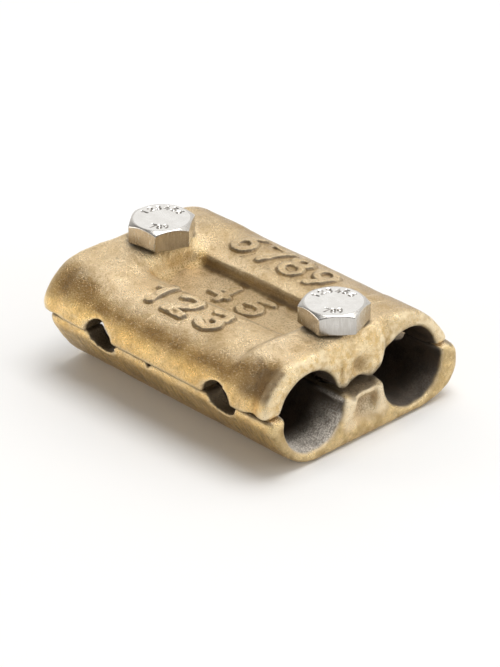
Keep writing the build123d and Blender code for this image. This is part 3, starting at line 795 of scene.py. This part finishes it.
def build_bolt(node, name, bx, turn, seed):
    AF, TOP, BASE, WK, WR = 17.0, 37.0, 30.6, 0.4, 7.9
    per = 52
    u = np.linspace(-1, 1, per, endpoint=False)
    phi = np.radians(30) * (0.45 * u + 0.55 * np.sin(np.pi * u / 2))
    th = np.concatenate([np.radians(60 * s) + phi for s in range(6)])
    cols = len(th)
    th_w = th + math.radians(turn + 30.0)
    # hexagon with softly rounded corners
    ks = 0.07
    r_i = np.stack([(AF / 2) / np.cos(th - math.radians(60 * s)) for s in range(-1, 7)])
    r_i = np.where(r_i > 0, r_i, 1e3)
    r_hex = -ks * np.log(np.exp(-r_i / ks).sum(0))
    rt = AF / 2 * 0.95
    tan30 = math.tan(math.radians(30))
    z_edge = TOP - np.maximum(r_hex - rt, 0) * tan30
    one = np.ones(cols)
    rows = []

    def add(r, z):
        rows.append((r * one, z * one))

    for r in (4.6, 5.4, 6.4, 7.3, 7.75):
        add(r, BASE)
    add(WR - 0.02, BASE + 0.06)
    add(WR, BASE + 0.2)
    add(WR - 0.02, BASE + WK)
    for t in (0.25, 0.6, 0.85):
        rows.append((WR + (r_hex - WR) * t, (BASE + WK) * one))
    i_side = len(rows)
    for t in np.concatenate([[0, 0.03, 0.07], np.linspace(0.12, 0.86, 14), [0.91, 0.95, 0.98, 1.0]]):
        rows.append((r_hex, BASE + WK + (z_edge - BASE - WK) * t))
    for t in (0.08, 0.2, 0.35, 0.5, 0.65, 0.8, 0.92, 1.0):
        r = r_hex + (rt - r_hex) * t
        rows.append((r, TOP - (r - rt) * tan30))
    i_disc = len(rows)
    ring = 0.115
    for r in np.arange(rt - 0.08, 0.05, -ring):
        add(r, TOP)
    R = np.array([a for a, _ in rows])
    Z = np.array([b for _, b in rows])
    # soften the turned edges along each column
    for _ in range(3):
        R2, Z2 = R.copy(), Z.copy()
        R2[1:-1] = (R[:-2] + 2 * R[1:-1] + R[2:]) / 4
        Z2[1:-1] = (Z[:-2] + 2 * Z[1:-1] + Z[2:]) / 4
        lo, hi = i_side - 1, i_disc + 4
        R[lo:hi], Z[lo:hi] = R2[lo:hi], Z2[lo:hi]
    X = R * np.cos(th_w)
    Y = R * np.sin(th_w)
    P = np.stack([X, Y, Z], -1)
    # stamped plain figures round the rim of the head, and a faint forging dish
    n1, n2 = Noise(seed), Noise(seed + 1)
    flat = P.reshape(-1, 3)
    rr = np.hypot(flat[:, 0], flat[:, 1])
    disc = (np.arange(len(rows)) >= i_disc - 1).repeat(cols)
    stamp = np.zeros(len(flat))
    idx = np.nonzero(disc & (rr > 2.2))[0]
    strokes = []
    for line in STAMPS(seed):
        strokes.append(line)
    xy = flat[idx, :2] + 0.05 * np.stack([n1(flat[idx], 0.9), n2(flat[idx], 0.9)], -1)
    dist = stroke_distance(xy, strokes)
    stamp[idx] = (1 - sstep(0.15, 0.36, dist)) * np.clip(0.85 + 0.6 * n1(flat[idx], 1.8), 0, 1)
    flat[:, 2] -= 0.22 * stamp
    inner = np.clip(1 - rr / (rt - 0.2), 0, 1)
    flat[:, 2] -= disc * (0.05 * sstep(0, 0.3, inner) + 0.012 * (1 + n1(flat, 3.5)))
    flat[:, 2] = np.minimum(flat[:, 2], TOP)
    verts = [flat]
    faces = grid_faces(len(rows), cols, 0)
    n = len(flat)
    verts.append(np.array([[0, 0, flat[-cols:, 2].mean()]]))
    last = (len(rows) - 1) * cols
    faces += [(last + j, last + (j + 1) % cols, n) for j in range(cols)]
    stamps = [stamp, np.zeros(1)]
    n += 1
    # shank with a rolled M10 x 1.5 thread, its tip chamfered
    tc = 72
    a = np.linspace(0, 2 * np.pi, tc, endpoint=False)
    zs = np.arange(0.6, BASE + 0.12, 0.15)
    zz, aa = np.meshgrid(zs, a, indexing="ij")
    ph = (zz / 1.5 - aa / (2 * np.pi)) % 1.0
    tri = np.abs(ph - 0.5) * 2
    prof = sstep(0.10, 0.86, tri)
    rad = 4.98 - 0.82 * prof
    tip = 4.05 + np.clip(zz - 0.6, 0, 3) * 1.05
    rad = np.minimum(rad, tip)
    runout = sstep(BASE - 1.6, BASE - 0.6, zz)
    rad = rad * (1 - runout) + 4.6 * runout
    sh = np.stack([rad * np.cos(aa), rad * np.sin(aa), zz], -1).reshape(-1, 3)
    verts.append(sh)
    # up the shank the ring order is the other way round from the head's outward rows
    faces += grid_faces(len(zs), tc, n)
    stamps.append(np.zeros(len(sh)))
    c0 = n + len(sh)
    verts.append(np.array([[0, 0, 0.6]]))
    stamps.append(np.zeros(1))
    faces += [(n + (j + 1) % tc, n + j, c0) for j in range(tc)]
    co = np.concatenate(verts)
    co[:, 0] += bx
    me = bpy.data.meshes.new(name)
    me.from_pydata((co * MM).tolist(), [], faces)
    me.update()
    attribute(me, "stamp", np.concatenate(stamps))
    rr = np.hypot(co[:, 0] - bx, co[:, 1])
    # painted highlight on the top disc
    attribute(me, "disc", (co[:, 2] > TOP - 0.35) * sstep(rt + 0.25, rt - 0.05, rr))
    attribute(me, "rim", bump1(rr, rt - 0.05, 0.14) * (co[:, 2] > TOP - 0.3))
    # painted shade and reflection: the flanks darker and browner towards the foot, less on the +x side
    head_foot_shade = sstep(BASE + 5.0, BASE + 0.4, co[:, 2] + 0.5 * Noise(seed + 5)(co, 4.0))
    attribute(me, "head_foot_shade", head_foot_shade * (1 - 0.65 * sstep(0.0, 0.6, (co[:, 0] - bx) / np.maximum(rr, 1.0))))
    finish_mesh(me)
    ob = bpy.data.objects.new(name, me)
    scene.collection.objects.link(ob)
    return ob


def STAMPS(seed):
    """plain figures 1 to 9 set round the rim, on a long arc at the back and a short one in front"""
    out = []
    spots = [("1", 150), ("2", 128), ("3", 106), ("4", 84), ("5", 62), ("6", 40)]
    front = [("7", 250), ("8", 270), ("9", 290)]
    shift = {101: 40, 102: 42}.get(seed, 0)
    for d, ang in spots + front:
        a = math.radians(ang + shift)
        tx, ty = math.sin(a), -math.cos(a)  # reading direction, clockwise
        ux, uy = math.cos(a), math.sin(a)  # outwards
        h, rin = 2.0, 5.0
        if d in "789":
            tx, ty, ux, uy = -tx, -ty, -ux, -uy
            rin = 6.4
        for line in DIGITS[d]:
            pts = []
            for u, v in line:
                s = (u - 0.31) * h
                o = v * h
                bx = math.cos(a) * rin + tx * s + ux * o
                by = math.sin(a) * rin + ty * s + uy * o
                pts.append((bx, by))
            out.append(pts)
    return out


# ------------------------------------------------------------------ make the pieces
bronze_m = bronze()
steel_m = stainless()

upper = build_upper()
lower = build_lower()
for ob, body, node, slot in (
    (upper, "upper", "upper_jaw", "bronze_upper"),
    (lower, "lower", "lower_jaw", "bronze_lower"),
):
    ob.data.materials.append(bronze_m)
    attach(ob, body)
    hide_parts(node)

for node, name, bx, turn, body, seed in (
    ("bolt_1", "hex_bolt_1", -33.6, 6.96, "bolt_left", 101),
    ("bolt_2", "hex_bolt_2", 33.6, -8.87, "bolt_right", 102),
):
    ob = build_bolt(node, name, bx, turn, seed)
    ob.data.materials.append(steel_m)
    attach(ob, body)
    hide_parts(node)

# ------------------------------------------------------------------ floor, light, camera
bpy.ops.mesh.primitive_plane_add(size=6.0, location=(0, 0, -0.00005))
floor = bpy.context.object
floor.name = "floor"
fm = bpy.data.materials.new("floor_pale")
fm.use_nodes = True
fb = fm.node_tree.nodes["Principled BSDF"]
fb.inputs["Base Color"].default_value = (0.94, 0.94, 0.94, 1)
fb.inputs["Roughness"].default_value = 0.9
fb.inputs["Specular IOR Level"].default_value = 0.1
floor.data.materials.append(fm)

world = bpy.data.worlds.new("studio")
scene.world = world
world.use_nodes = True
wt = world.node_tree
bg = wt.nodes["Background"]


def wmath(op, a, b=0.0, c=0.0, clamp=False):
    n = wt.nodes.new("ShaderNodeMath")
    n.operation, n.use_clamp = op, clamp
    for sock, v in zip(n.inputs, (a, b, c)):
        if isinstance(v, (int, float)):
            sock.default_value = v
        else:
            wt.links.new(v, sock)
    return n.outputs[0]


# a wide bright backdrop behind and to the left, a dimmer room in front
sep = wt.nodes.new("ShaderNodeSeparateXYZ")
wt.links.new(wt.nodes.new("ShaderNodeTexCoord").outputs["Generated"], sep.inputs[0])
wx, wy, wz = sep.outputs
flat = wmath("SQRT", wmath("ADD", wmath("ADD", wmath("MULTIPLY", wx, wx), wmath("MULTIPLY", wy, wy)), 0.02))
facing = wmath("DIVIDE", wmath("ADD", wmath("MULTIPLY", wx, -0.10), wmath("MULTIPLY", wy, 0.99)), flat)
edge = wt.nodes.new("ShaderNodeMapRange")
edge.interpolation_type = "SMOOTHSTEP"
wt.links.new(facing, edge.inputs["Value"])
edge.inputs["From Min"].default_value = -0.02
edge.inputs["From Max"].default_value = 0.42
edge.inputs["To Min"].default_value = 0.24
edge.inputs["To Max"].default_value = 0.92
wt.links.new(edge.outputs[0], bg.inputs["Strength"])
bg.inputs["Color"].default_value = (1.0, 0.985, 0.96, 1)


def softbox(name, loc, target, size, size_y, power, color=(1, 1, 1)):
    data = bpy.data.lights.new(name, "AREA")
    data.shape = "RECTANGLE"
    data.size, data.size_y = size, size_y
    data.energy = power
    data.color = color
    ob = bpy.data.objects.new(name, data)
    scene.collection.objects.link(ob)
    ob.location = loc
    ob.rotation_mode = "QUATERNION"
    ob.rotation_quaternion = (Vector(target) - Vector(loc)).to_track_quat("-Z", "Y")
    return ob


softbox("overhead", (0.05, 0.25, 1.35), (0, 0, 0), 0.9, 0.9, 10.5)
softbox("side", (-0.66, -0.66, 0.20), (0, 0, 0.02), 0.50, 0.44, 2.9, (1.0, 0.94, 0.85))
softbox("end", (0.72, 0.30, 0.22), (0.03, 0, 0.02), 0.5, 0.4, 1.25, (1.0, 0.96, 0.90))

cam_data = bpy.data.cameras.new("camera")
cam = bpy.data.objects.new("camera", cam_data)
scene.collection.objects.link(cam)
cam_data.sensor_fit = "AUTO"
cam_data.sensor_width = 36.0
cam_data.lens = 215.892054
cam_data.clip_start, cam_data.clip_end = 0.05, 20.0
rows = (
    (0.6924782780462936, 0.7214233509589564, -0.0047098965159266225),
    (-0.34615555998599473, 0.33798078098224116, 0.8751830208461638),
    (0.6329693221040201, -0.6044148743849582, 0.4837690532654941),
)
cam.matrix_world = Matrix(
    (
        (rows[0][0], rows[1][0], rows[2][0], 0.6902274806917032),
        (rows[0][1], rows[1][1], rows[2][1], -0.6578353468858394),
        (rows[0][2], rows[1][2], rows[2][2], 0.5408944594581476),
        (0, 0, 0, 1),
    )
)
scene.camera = cam
scene.view_settings.view_transform = "Standard"
scene.view_settings.look = "None"
scene.view_settings.exposure = 0.0
scene.view_settings.gamma = 1.0

bpy.context.view_layer.update()
